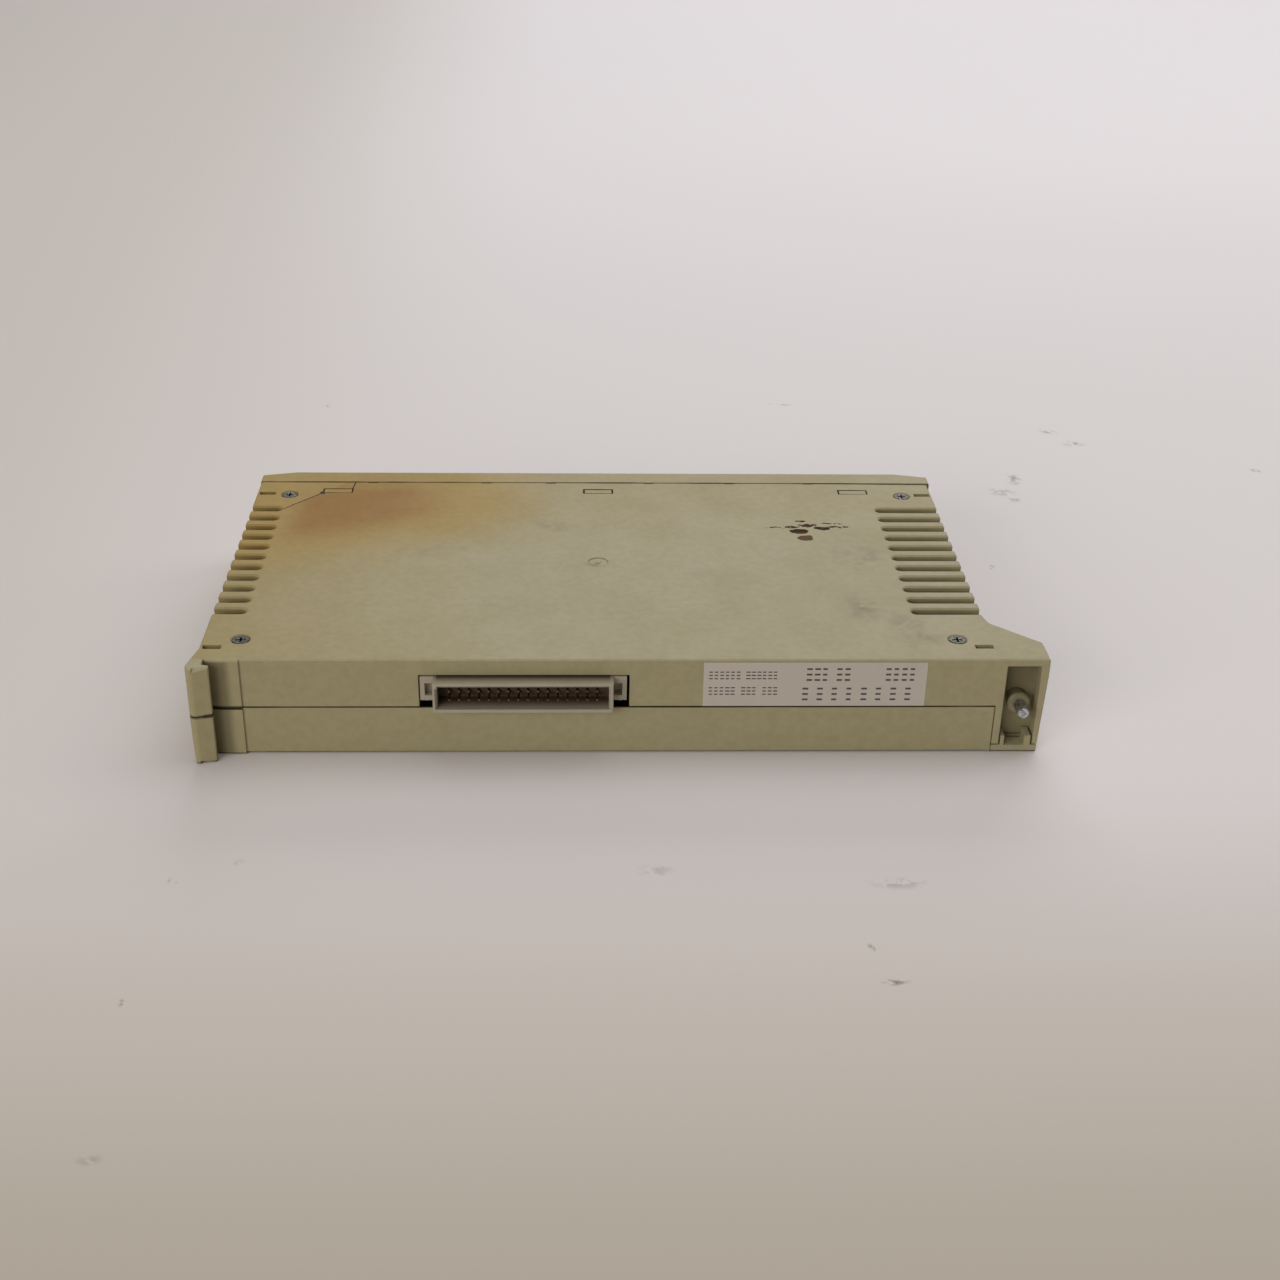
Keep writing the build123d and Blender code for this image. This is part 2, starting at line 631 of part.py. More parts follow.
def board_link():
    """Pin strip that joins the indicator board to the main board past the last terminal."""
    x = indicator_positions()[-1] - 4.0
    pins = []
    for i in range(4):
        px = x + i * PITCH
        upright = block(px - 0.3, px + 0.3, 102.0, 102.6, INDICATOR_BOARD_Z[1] - 1.6, 9.2)
        foot = block(px - 0.3, px + 0.3, 102.0, INDICATOR_BOARD_Y[0] - 0.02,
                     INDICATOR_BOARD_Z[1] - 1.6, INDICATOR_BOARD_Z[1] - 1.0)
        pins.append(upright + foot)
    return Compound(children=pins)


# ---------------------------------------------------------------- boards and components
def main_board():
    board = block(*BOARD_X, *BOARD_Y, *BOARD_Z)
    reach = BOSS_R + BOARD_CORNER_GAP
    notch_end = SCREW_X[0] + reach
    board -= block(BOARD_X[0] - 1, notch_end, 0, SCREW_Y[0] + reach, 20, 30)
    board -= block(BOARD_X[0] - 1, notch_end, SCREW_Y[1] - reach, SHELL_FRONT, 20, 30)
    for x, y in BOARD_SCREWS:
        board -= rod_z(x, y, 20, 30, 1.25)
    for x, y in bus_screw_spots():
        board -= rod_z(x, y, 20, 30, BUS_SCREW_R + 0.1)
    for x, y, _ in bus_pin_spots():
        board -= rod_z(x, y, 20, 30, 0.5)
    return board


def board_screws():
    """Three screws that hold the board against the upper shell."""
    screws = []
    for x, y in BOARD_SCREWS:
        screw = rod_z(x, y, BOARD_Z[0] - 1.6, BOARD_Z[0] - 0.02, 2.2)
        screws.append(screw + rod_z(x, y, BOARD_Z[0] - 1, THICKNESS - 1.2, 0.9))
    return Compound(children=screws)


def bus_screw_spots():
    half = BUS_HOLE_SPACING / 2
    return [(BUS_X - half, BUS_SCREW_Y), (BUS_X + half, BUS_SCREW_Y)]


def bus_pin_spots():
    """Plan position where each pin enters the board, and the height of its row."""
    middle = (BUS_Z[0] + BUS_Z[1]) / 2
    spots = []
    for column in range(COLUMNS):
        x = BUS_X + (column - (COLUMNS - 1) / 2) * PITCH
        spots.append((x, BUS_BACK_Y + 1.6, middle + PITCH / 2))
        spots.append((x, BUS_BACK_Y + 1.6 + PITCH, middle - PITCH / 2))
    return spots


def bus_connector_body():
    half = BUS_SHROUD / 2
    body = block(BUS_X - half, BUS_X + half, BUS_RIM_Y, BUS_BACK_Y, *BUS_Z)
    rim = [e for e in body.edges() if abs(e.center().Y - BUS_RIM_Y) < 0.01]
    body = chamfer(rim, 0.25)
    body += block(BUS_X - BUS_EARS / 2, BUS_X + BUS_EARS / 2, BUS_EAR_Y, 6.6, BUS_EAR_Z, BUS_Z[1])
    body -= block(BUS_X - half + BUS_WALL, BUS_X + half - BUS_WALL, BUS_RIM_Y - 1, BUS_FLOOR_Y,
                  BUS_Z[0] + BUS_WALL, BUS_Z[1] - BUS_WALL)
    for side in (-1, 1):
        x0, x1 = sorted((BUS_X + side * half, BUS_X + side * (half + 2.3)))
        body -= block(x0, x1, BUS_EAR_Y - 1, BUS_EAR_Y + 2.2, 17.3, 20.9)
    for x, y in bus_screw_spots():
        body -= rod_z(x, y, 14, 24, BUS_SCREW_R + 0.1)
    for x, _, z in bus_pin_spots():
        body -= block(x - 0.36, x + 0.36, BUS_FLOOR_Y - 1, BUS_BACK_Y + 1, z - 0.36, z + 0.36)
    return body - bus_lead_in()


def bus_lead_in():
    """Chamfers that open the mouth of the shroud at its top and at both ends."""
    depth, off_top, off_ends = BUS_LEAD_IN
    inner_x = BUS_SHROUD / 2 - BUS_WALL
    low, high = BUS_Z[0] + BUS_WALL, BUS_Z[1] - BUS_WALL
    mouth, back = BUS_RIM_Y - 0.01, BUS_RIM_Y + depth
    section = [(mouth, high - 1), (mouth, high + off_top), (back, high), (back, high - 1)]
    cuts = bar_x(BUS_X - inner_x, BUS_X + inner_x, section)
    for side in (-1, 1):
        x = BUS_X + side * inner_x
        wide = x + side * off_ends
        inside = x - side
        cuts += slab([(inside, mouth), (wide, mouth), (x, back), (inside, back)], low, high)
    return cuts


def bus_connector_pins():
    """Right-angle pins, from the shroud through the body and up into the board."""
    pins = []
    half = 0.3
    for x, y, z in bus_pin_spots():
        run = block(x - half, x + half, BUS_RIM_Y + 1.6, y + half, z - half, z + half)
        tip = [e for e in run.edges() if abs(e.center().Y - BUS_RIM_Y - 1.6) < 0.01]
        run = chamfer(tip, 0.18)
        pins.append(run + block(x - half, x + half, y - half, y + half, z - half, BOARD_Z[1] + 0.7))
    return Compound(children=pins)


def bus_connector_screws():
    screws = []
    for x, y in bus_screw_spots():
        head = rod_z(x, y, BUS_EAR_Z - 1.3, BUS_EAR_Z - 0.03, 1.65)
        screws.append(head + rod_z(x, y, BUS_EAR_Z - 1, BOARD_Z[1] + 0.9, BUS_SCREW_R))
    return Compound(children=screws)


def terminal_block(poles):
    """Front-entry block: screw access above, wire entry below, for each pole."""
    half = TERMINAL_PITCH / 2
    body = block(poles[0] - half, poles[-1] + half, *TERMINAL_Y, *TERMINAL_Z)
    front = [
        e for e in body.edges().filter_by(Axis.X) if abs(e.center().Y - TERMINAL_Y[1]) < 0.01
    ]
    body = chamfer(front, 0.8)
    y = TERMINAL_Y[1]
    for x in poles:
        body -= rod_y(x, y - 9.0, y + 1, TERMINAL_SCREW_Z, 1.9)
        body -= block(x - 1.75, x + 1.75, y - 9.0, y + 1, TERMINAL_WIRE_Z - 2.0, TERMINAL_WIRE_Z + 2.0)
        body -= block(x - 0.55, x + 0.55, y - 9.0, y - 8.0, TERMINAL_WIRE_Z + 1.5, TERMINAL_SCREW_Z)
    for x in poles[:-1]:
        body -= block(x + half - 0.2, x + half + 0.2, y - 0.5, y + 1, TERMINAL_Z[0] - 1, TERMINAL_Z[1] + 1)
    return body


def terminal_screws():
    screws = []
    y = TERMINAL_Y[1]
    for poles in terminal_positions():
        for x in poles:
            screw = rod_y(x, y - 8.6, y - 1.2, TERMINAL_SCREW_Z, 1.75)
            screw -= block(x - 2, x + 2, y - 1.9, y, TERMINAL_SCREW_Z - 0.25, TERMINAL_SCREW_Z + 0.25)
            screws.append(screw)
    return Compound(children=screws)


def terminal_cages():
    """Plated wire clamps inside the wire entries."""
    cages = []
    y = TERMINAL_Y[1]
    for poles in terminal_positions():
        for x in poles:
            cage = block(x - 1.65, x + 1.65, y - 8.0, y - 2.5, TERMINAL_WIRE_Z - 1.9, TERMINAL_WIRE_Z + 1.9)
            cage -= block(x - 1.2, x + 1.2, y - 9, y - 1, TERMINAL_WIRE_Z - 1.4, TERMINAL_WIRE_Z + 1.4)
            cages.append(cage)
    return Compound(children=cages)


def chip_row(count, x0, pitch, y, length, width, height):
    """Row of dual-in-line packages under the board, each with its two rows of legs."""
    chips = []
    top = BOARD_Z[0] - 0.6
    legs = int(length / PITCH)
    for i in range(count):
        x = x0 + i * pitch
        chip = block(x - length / 2, x + length / 2, y - width / 2, y + width / 2, top - height, top)
        for leg in range(legs):
            px = x + (leg - (legs - 1) / 2) * PITCH
            for side in (-1, 1):
                y0, y1 = sorted((y + side * (width / 2 - 0.1), y + side * (width / 2 + 0.5)))
                chip += block(px - 0.25, px + 0.25, y0, y1, top - height / 2, BOARD_Z[0] - 0.02)
        chips.append(chip)
    return Compound(children=chips)


def input_resistors():
    """One wire-ended resistor for each input."""
    resistors = []
    for poles in terminal_positions()[:3]:
        for x in poles:
            z = BOARD_Z[0] - 1.9
            body = rod_y(x, 82.4, 89.4, z, 1.45)
            for y in (80.8, 90.6):
                inner = y + 2 if y < 85 else y - 2
                body += block(x - 0.3, x + 0.3, *sorted((y, inner)), z - 0.3, z + 0.3)
                body += block(x - 0.3, x + 0.3, y - 0.3, y + 0.3, z - 0.3, BOARD_Z[0] - 0.02)
            resistors.append(body)
    return Compound(children=resistors)


def filter_capacitors():
    """Two electrolytic capacitors that lie along the board."""
    cans = []
    for y in (30.0, 43.0):
        can = rod_x(51.0, 67.0, y, BOARD_Z[0] - 5.4, 5.2)
        cans.append(can + rod_x(67.0, 69.5, y, BOARD_Z[0] - 5.4, 0.4))
    return Compound(children=cans)


def decoupling_capacitors():
    caps = []
    for i in range(6):
        x = -60.0 + i * 20.6
        caps.append(block(x - 2.2, x + 2.2, 57.2, 59.6, BOARD_Z[0] - 4.6, BOARD_Z[0] - 0.02))
    return Compound(children=caps)


HEATSINK_X = (-96.0, -72.0)
HEATSINK_Y = (60.0, 76.0)


def regulator_heatsink():
    """Finned sink that hangs below the board beside the hottest part."""
    z0, z1 = 8.5, BOARD_Z[0] - 0.3
    sink = block(*HEATSINK_X, HEATSINK_Y[0], HEATSINK_Y[0] + 1.8, z0, z1)
    fins = 6
    for i in range(fins):
        x = HEATSINK_X[0] + 0.75 + i * (HEATSINK_X[1] - HEATSINK_X[0] - 1.5) / (fins - 1)
        sink += block(x - 0.75, x + 0.75, HEATSINK_Y[0] + 1, HEATSINK_Y[1], z0, z1)
    middle = (HEATSINK_X[0] + HEATSINK_X[1]) / 2
    sink -= rod_y(middle, HEATSINK_Y[0] - 1, HEATSINK_Y[0] + 4, 12.0, 1.6)
    return sink


def voltage_regulator():
    """Tab-mounted regulator on the flat face of the sink."""
    x = (HEATSINK_X[0] + HEATSINK_X[1]) / 2
    y = HEATSINK_Y[0]
    part = block(x - 5.1, x + 5.1, y - 1.35, y - 0.03, 9.2, 15.6)
    part -= rod_y(x, y - 3, y + 1, 12.0, 1.8)
    part += block(x - 5.1, x + 5.1, y - 4.5, y - 0.03, 15.0, 19.6)
    for i in (-1, 0, 1):
        px = x + i * PITCH
        part += block(px - 0.4, px + 0.4, y - 2.6, y - 2.1, 19.4, BOARD_Z[0] - 0.02)
    return part


def regulator_screw():
    x = (HEATSINK_X[0] + HEATSINK_X[1]) / 2
    y = HEATSINK_Y[0]
    return rod_y(x, y - 3.2, y - 1.4, 12.0, 2.7) + rod_y(x, y - 2, y + 4.5, 12.0, 1.45)


def rating_label():
    """Sticker on the upper shell's rear wall."""
    return block(*LABEL_X, -LABEL_THICK, -0.01, *LABEL_Z)


# ---------------------------------------------------------------- parts list
def parts():
    made = {
        "upper_case_shell": upper_shell(),
        "lower_case_shell": lower_shell(),
        "case_screws": case_screws(),
        "screw_bush": screw_bush(),
        "mounting_screw": mounting_screw(),
        "front_frame": front_frame(),
        "front_door": front_door(),
        "legend_strip": legend_strip(),
        "legend_cover": legend_cover(),
        "light_guides": light_guides(),
        "indicator_board": indicator_board(),
        "indicator_leds": indicator_leds(),
        "board_link_pins": board_link(),
        "main_circuit_board": main_board(),
        "board_screws": board_screws(),
        "bus_connector_body": bus_connector_body(),
        "bus_connector_pins": bus_connector_pins(),
        "bus_connector_screws": bus_connector_screws(),
        "terminal_screws": terminal_screws(),
        "terminal_cages": terminal_cages(),
        "optocouplers": chip_row(6, -60.0, 20.6, 71.0, 19.4, 6.4, 3.4),
        "bus_logic_chips": chip_row(4, -62.0, 31.0, 46.0, 24.8, 6.4, 3.4),
        "input_resistors": input_resistors(),
        "filter_capacitors": filter_capacitors(),
        "decoupling_capacitors": decoupling_capacitors(),
        "regulator_heatsink": regulator_heatsink(),
        "voltage_regulator": voltage_regulator(),
        "regulator_screw": regulator_screw(),
        "rating_label": rating_label(),
    }
    for number, poles in enumerate(terminal_positions(), start=1):
        made[f"terminal_block_{number}"] = terminal_block(poles)
    return made


def export_part():
    os.makedirs("parts", exist_ok=True)
    for name, shape in parts().items():
        moved = Pos(0, -ORIGIN_Y, 0) * shape
        export_step(moved, f"parts/{name}.step")


export_part()
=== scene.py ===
"""Looks for the slot-in input module: materials, printed marks, floor, light and camera.

Everything is in metres in the module's own frame: +X from the hook end to the screw end, +Y from the
rear face to the front door, +Z up.  The CAD nodes keep their shapes; this script gives them their
finish and adds the printed pieces that are too thin to be parts.
"""
import math
import random

import bmesh
import bpy
from mathutils import Matrix, Vector


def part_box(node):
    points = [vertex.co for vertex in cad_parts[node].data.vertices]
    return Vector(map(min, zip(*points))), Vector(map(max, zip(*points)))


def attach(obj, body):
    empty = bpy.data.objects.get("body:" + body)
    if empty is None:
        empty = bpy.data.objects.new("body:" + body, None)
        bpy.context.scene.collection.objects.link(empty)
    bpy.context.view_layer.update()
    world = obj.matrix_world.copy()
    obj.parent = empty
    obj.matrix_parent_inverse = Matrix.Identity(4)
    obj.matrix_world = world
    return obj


MM = 0.001


# ---------------------------------------------------------------- node graph helper
class Graph:
    """Builds one material's nodes; every method returns an output socket."""

    def __init__(self, name):
        self.material = bpy.data.materials.new(name)
        self.material.use_nodes = True
        self.tree = self.material.node_tree
        self.tree.nodes.clear()
        self.shader = self.tree.nodes.new("ShaderNodeBsdfPrincipled")
        output = self.tree.nodes.new("ShaderNodeOutputMaterial")
        self.tree.links.new(self.shader.outputs["BSDF"], output.inputs["Surface"])
        self.place = self.tree.nodes.new("ShaderNodeTexCoord").outputs["Object"]

    def feed(self, socket, value):
        if isinstance(value, bpy.types.NodeSocket):
            self.tree.links.new(value, socket)
        elif isinstance(value, (tuple, list)) and len(value) == 3 and len(socket.default_value) == 4:
            socket.default_value = (*value, 1.0)
        else:
            socket.default_value = value

    def math(self, operation, first, second=0.0):
        node = self.tree.nodes.new("ShaderNodeMath")
        node.operation = operation
        self.feed(node.inputs[0], first)
        self.feed(node.inputs[1], second)
        return node.outputs[0]

    def product(self, first, *others):
        for other in others:
            first = self.math("MULTIPLY", first, other)
        return first

    def largest(self, first, *others):
        for other in others:
            first = self.math("MAXIMUM", first, other)
        return first

    def less(self, first, second):
        return self.math("SUBTRACT", first, second)

    def apart(self, value, middle):
        """Distance of a value from a middle, always positive."""
        return self.math("ABSOLUTE", self.less(value, middle))

    def vector(self, operation, first, second=(0.0, 0.0, 0.0)):
        node = self.tree.nodes.new("ShaderNodeVectorMath")
        node.operation = operation
        self.feed(node.inputs[0], first)
        self.feed(node.inputs[1], second)
        return node.outputs["Value" if operation in ("LENGTH", "DOT_PRODUCT", "DISTANCE") else "Vector"]

    def scaled(self, vector, factor):
        node = self.tree.nodes.new("ShaderNodeVectorMath")
        node.operation = "SCALE"
        self.feed(node.inputs[0], vector)
        self.feed(node.inputs["Scale"], factor)
        return node.outputs["Vector"]

    def axis(self, name, vector=None):
        node = self.tree.nodes.new("ShaderNodeSeparateXYZ")
        self.feed(node.inputs[0], vector or self.place)
        return node.outputs[name]

    def facing(self, name):
        """1 where the surface faces along an axis, 0 where it lies along it."""
        normal = self.tree.nodes.new("ShaderNodeTexCoord").outputs["Normal"]
        return self.math("ABSOLUTE", self.axis(name, normal))

    def noise(self, scale, detail=2.0, roughness=0.5, distortion=0.0):
        node = self.tree.nodes.new("ShaderNodeTexNoise")
        self.feed(node.inputs["Vector"], self.place)
        node.inputs["Scale"].default_value = scale
        node.inputs["Detail"].default_value = detail
        node.inputs["Roughness"].default_value = roughness
        node.inputs["Distortion"].default_value = distortion
        return node.outputs["Fac"]

    def wobble(self, scale, amount):
        """The place, pushed about by noise, so that marks get ragged edges; amount in millimetres."""
        node = self.tree.nodes.new("ShaderNodeTexNoise")
        self.feed(node.inputs["Vector"], self.place)
        node.inputs["Scale"].default_value = scale
        node.inputs["Detail"].default_value = 3.0
        centred = self.vector("SUBTRACT", node.outputs["Color"], (0.5, 0.5, 0.5))
        return self.vector("ADD", self.place, self.scaled(centred, amount * MM))

    def ramp(self, value, low, high, out_low=0.0, out_high=1.0, smooth=True):
        node = self.tree.nodes.new("ShaderNodeMapRange")
        node.interpolation_type = "SMOOTHSTEP" if smooth else "LINEAR"
        self.feed(node.inputs["Value"], value)
        node.inputs["From Min"].default_value = low
        node.inputs["From Max"].default_value = high
        node.inputs["To Min"].default_value = out_low
        node.inputs["To Max"].default_value = out_high
        return node.outputs["Result"]

    def span(self, value, low, high, out_low=0.0, out_high=1.0):
        """A smooth ramp between two limits in millimetres."""
        return self.ramp(value, low * MM, high * MM, out_low, out_high)

    def mix(self, factor, first, second, blend="MIX"):
        node = self.tree.nodes.new("ShaderNodeMix")
        node.data_type = "RGBA"
        node.blend_type = blend
        self.feed(node.inputs["Factor"], factor)
        self.feed(node.inputs[6], first)
        self.feed(node.inputs[7], second)
        return node.outputs[2]

    def blob(self, centre, half_size, vector=None, softness=1.0):
        """1 at the centre of an ellipse in plan, falling to 0 at its edge."""
        offset = self.vector("SUBTRACT", vector or self.place, (centre[0] * MM, centre[1] * MM, 0.0))
        flat = self.vector("MULTIPLY", offset, (1 / (half_size[0] * MM), 1 / (half_size[1] * MM), 0.0))
        return self.ramp(self.vector("LENGTH", flat), 1.0, 1.0 - softness)

    def segment(self, start, end, vector=None):
        """Distance in plan, in metres, from the line between two points."""
        start = Vector((start[0] * MM, start[1] * MM, 0.0))
        along = Vector((end[0] * MM, end[1] * MM, 0.0)) - start
        offset = self.vector("SUBTRACT", vector or self.place, tuple(start))
        offset = self.vector("MULTIPLY", offset, (1.0, 1.0, 0.0))
        share = self.vector("DOT_PRODUCT", offset, tuple(along / along.length_squared))
        share = self.math("MINIMUM", self.math("MAXIMUM", share, 0.0), 1.0)
        return self.vector("DISTANCE", offset, self.scaled(tuple(along), share))

    def bump(self, height, strength, distance, normal=None):
        node = self.tree.nodes.new("ShaderNodeBump")
        node.inputs["Strength"].default_value = strength
        node.inputs["Distance"].default_value = distance
        self.feed(node.inputs["Height"], height)
        if normal is not None:
            self.feed(node.inputs["Normal"], normal)
        return node.outputs["Normal"]

    def rounded(self, radius):
        """Normal that rounds off sharp edges by a small radius."""
        node = self.tree.nodes.new("ShaderNodeBevel")
        node.samples = 6
        node.inputs["Radius"].default_value = radius
        return node.outputs["Normal"]

    def finish(self, color, roughness, normal=None, metallic=0.0, specular=0.5):
        self.feed(self.shader.inputs["Base Color"], color)
        self.feed(self.shader.inputs["Roughness"], roughness)
        self.shader.inputs["Metallic"].default_value = metallic
        self.shader.inputs["Specular IOR Level"].default_value = specular
        if normal is not None:
            self.feed(self.shader.inputs["Normal"], normal)
        return self.material


# ---------------------------------------------------------------- the aged beige plastic
BEIGE = (0.442, 0.396, 0.250)
BEIGE_WARM = (0.425, 0.370, 0.220)
UPRIGHT_SHADE = (0.353, 0.307, 0.172)           # painted shade for the upright faces, which get less light
GRIME = (0.16, 0.145, 0.105)
SMUDGE_GREY = (0.215, 0.19, 0.135)
# painted shade for the walls of the louvre slots
SLOT_WALL_SHADE = (0.12, 0.098, 0.05)
# painted shade inside the ear's pocket
POCKET_DEPTH_SHADE = (0.085, 0.068, 0.032)
# dark brown of the seam dirt, also used for painted shade on the lowest edge and behind the hook
SEAM_DIRT_AND_SHADE = (0.058, 0.044, 0.024)
CRACK_BROWN = (0.03, 0.02, 0.012)
RESIDUE_DARK = (0.040, 0.020, 0.007)
RESIDUE_PALE = (0.14, 0.082, 0.040)
PLASTIC_SHEEN = 0.2
PLASTIC_ROUNDING = 0.4 * MM
RESIDUE_ROUGHNESS = 0.95
SEAM_STRENGTH = 0.88

# what each stage of the heat stain leaves of the plastic's own colour
UNSTAINED = (1.0, 1.0, 1.0)
YELLOWED = (0.92, 0.83, 0.63)
TANNED = (0.97, 0.76, 0.41)
SCORCHED = (0.76, 0.46, 0.19)

# the heat stain in plan, in millimetres: where each stage starts and where it is full
STAIN_LEAN = 0.36                       # share of x by which its rear edge leans
YELLOW_X = (-30, -112)
YELLOW_Y = (0, 45)
YELLOW_PATCH = ((-66, 40), (78, 46))
REAR_WALL_Y = (-57.7, -57.0)            # the rear wall has kept its colour
TAN_X = (-8, -48)
TAN_LEANING = (14, 52)
CORE_X = (-42, -70)
CORE_LEANING = (38, 60)
CORE_SEAM_FADE = (44, 54)
CORE_LOUVRE_FADE = (-103, -90)

SPLIT_Z = 14.0 * MM
FRONT_SEAM_Y = 55.45 * MM               # gap between the shells and the front frame
UPPER_FACE_Z = (27.0, 27.4)             # marks on the upper side start and are full here, millimetres

# snap windows: middles and half size in plan, millimetres
SNAP_WINDOWS = ((-84.7, 48.85), (-5.0, 48.85), (73.8, 48.85))
WINDOW_HALF = (4.4, 1.45)

# the crack runs from the last left louvre to the snap window and on to the seam
CRACK = ((-99.8, 34.9), (-89.2, 47.2), (-80.4, 50.3), (-80.0, 55.2))
CRACK_WIDTH = 0.26 * MM
CRACK_CHIP = (1.1, 1.1)                 # chipped spot where the crack meets the window

# remains of torn-off paper: plan centre and half size of each patch
TORN_STREAKS = (
    ((47.6, 22.9), (4.0, 0.6)), ((52.8, 23.1), (2.8, 0.9)), ((57.0, 24.4), (3.3, 1.5)),
    ((55.3, 27.4), (1.9, 0.7)), ((66.0, 23.4), (4.2, 0.7)), ((64.5, 25.6), (3.4, 0.45)),
)
GLUE_SPOTS = (((53.8, 20.2), (3.2, 1.7)), ((61.2, 22.2), (2.6, 1.5)), ((55.5, 15.6), (2.5, 2.1)))

# faint dirty patches: plan centre, half size and strength
SMUDGES = (
    ((70, 5), (11, 13), 0.55), ((66, -28), (9, 12), 0.62), ((76, -40), (6, 14), 0.7),
    ((80, -47), (14, 5), 0.5), ((-18, 24), (10, 5.5), 0.55), ((-52, 8), (15, 8), 0.32),
    ((30, -12), (20, 9), 0.15), ((-4.9, -0.9), (5.0, 3.0), 0.9), ((-58, 5), (10, 5), 0.3),
)


def grey(graph, value):
    """Grey of the given brightness as a colour."""
    node = graph.tree.nodes.new("ShaderNodeCombineColor")
    for socket in node.inputs[:3]:
        graph.feed(socket, value)
    return node.outputs[0]


def beige_base(graph):
    """Colour of the plastic before local marks: mottled, a little yellower in patches, with painted
    shade on the upright faces.
    """
    clouds = graph.ramp(graph.noise(16, detail=3), 0.35, 0.75)
    color = graph.mix(graph.product(clouds, 0.35), BEIGE, BEIGE_WARM)
    # painted shade: upright faces are drawn darker and more olive than the broad sides, as they get
    # less light
    upright = graph.ramp(graph.facing("Z"), 0.75, 0.35)
    color = graph.mix(graph.product(upright, 0.75), color, UPRIGHT_SHADE)
    mottle = graph.ramp(graph.noise(420, detail=4, roughness=0.65), 0.3, 0.7, 0.955, 1.045)
    return graph.mix(1.0, color, grey(graph, mottle), "MULTIPLY")


def grime_specks(graph, color):
    """Sparse dark specks and faint scuffs."""
    specks = graph.ramp(graph.noise(900, detail=1), 0.76, 0.83)
    cluster = graph.ramp(graph.noise(35, detail=2), 0.5, 0.75)
    return graph.mix(graph.product(specks, cluster, 0.5), color, GRIME)


def heat_stain(graph, color, strength):
    """Brown heat mark near the left front corner, fading through tan to a wide yellow cast."""
    place = graph.wobble(42, 7)
    x, y = graph.axis("X", place), graph.axis("Y", place)
    leaning = graph.less(y, graph.product(x, STAIN_LEAN))
    yellow = graph.largest(
        graph.ramp(x, YELLOW_X[0] * MM, YELLOW_X[1] * MM, smooth=False),
        graph.product(graph.span(y, *YELLOW_Y), 0.25),
        graph.blob(*YELLOW_PATCH, place),
    )
    yellow = graph.product(yellow, graph.span(graph.axis("Y"), *REAR_WALL_Y, 0.2, 1.0))
    tan = graph.product(
        graph.span(x, *TAN_X), graph.span(leaning, *TAN_LEANING), min(1.0, 0.4 + strength),
    )
    core = graph.product(
        graph.span(x, *CORE_X),
        graph.span(leaning, *CORE_LEANING),
        graph.span(y, *CORE_SEAM_FADE, 1.0, 0.5),
        graph.span(x, *CORE_LOUVRE_FADE, 0.1, 1.0),
        graph.ramp(corner_piece(graph), 0.0, 1.0, strength, 0.3 * strength),
    )
    tint = graph.mix(yellow, UNSTAINED, YELLOWED)
    tint = graph.mix(tan, tint, TANNED)
    tint = graph.mix(core, tint, SCORCHED)
    return graph.mix(1.0, color, tint, "MULTIPLY")


def corner_piece(graph):
    """1 on the corner beyond the crack, 0 elsewhere."""
    start, end = (Vector(point) for point in CRACK[:2])
    across = (end - start).orthogonal().normalized()
    offset = graph.vector("SUBTRACT", graph.place, (start.x * MM, start.y * MM, 0.0))
    side = graph.vector("DOT_PRODUCT", offset, (across.x, across.y, 0.0))
    return graph.product(graph.span(side, -0.1, 0.1), graph.span(graph.axis("X"), -79.8, -80.4))


def crack_mask(graph):
    """1 in the hairline crack of the upper side."""
    place = graph.wobble(500, 0.5)
    to_window = graph.segment(CRACK[0], CRACK[1], place)
    to_seam = graph.segment(CRACK[2], CRACK[3], place)
    line = graph.ramp(graph.math("MINIMUM", to_window, to_seam), CRACK_WIDTH, CRACK_WIDTH * 0.4)
    line = graph.largest(line, graph.blob(CRACK[1], CRACK_CHIP, place, softness=0.3))
    return graph.product(line, graph.span(graph.axis("Z"), 27.5, 27.8))


def patches(graph, spots, place, softness):
    """1 inside any of the spots, 0 outside them all."""
    return graph.largest(*(
        graph.blob(centre, half_size, place, softness=softness) for centre, half_size in spots
    ))


def sticker_residue(graph, color):
    """Torn paper and brown glue of a lost sticker; returns the colour and where they lie."""
    place = graph.wobble(420, 2.4)
    torn = graph.ramp(graph.noise(900, detail=3), 0.36, 0.48)
    streaks = graph.product(patches(graph, TORN_STREAKS, place, 0.25), torn)
    mask = graph.largest(streaks, patches(graph, GLUE_SPOTS, place, 0.18))
    mask = graph.product(mask, graph.span(graph.axis("Z"), *UPPER_FACE_Z))
    paler = graph.largest(
        graph.span(graph.axis("Y"), 20.6, 18.0),
        graph.ramp(graph.noise(420, detail=3), 0.5, 0.68, 0.0, 0.5),
    )
    return graph.mix(mask, color, graph.mix(paler, RESIDUE_DARK, RESIDUE_PALE)), mask


def smudges(graph, color):
    """Soft grey rubbing marks."""
    place = graph.wobble(70, 9)
    streaks = graph.ramp(graph.noise(110, detail=4, roughness=0.6, distortion=1.2), 0.36, 0.72)
    for centre, half_size, strength in SMUDGES:
        share = graph.product(graph.blob(centre, half_size, place), streaks, strength)
        color = graph.mix(share, color, SMUDGE_GREY)
    return color


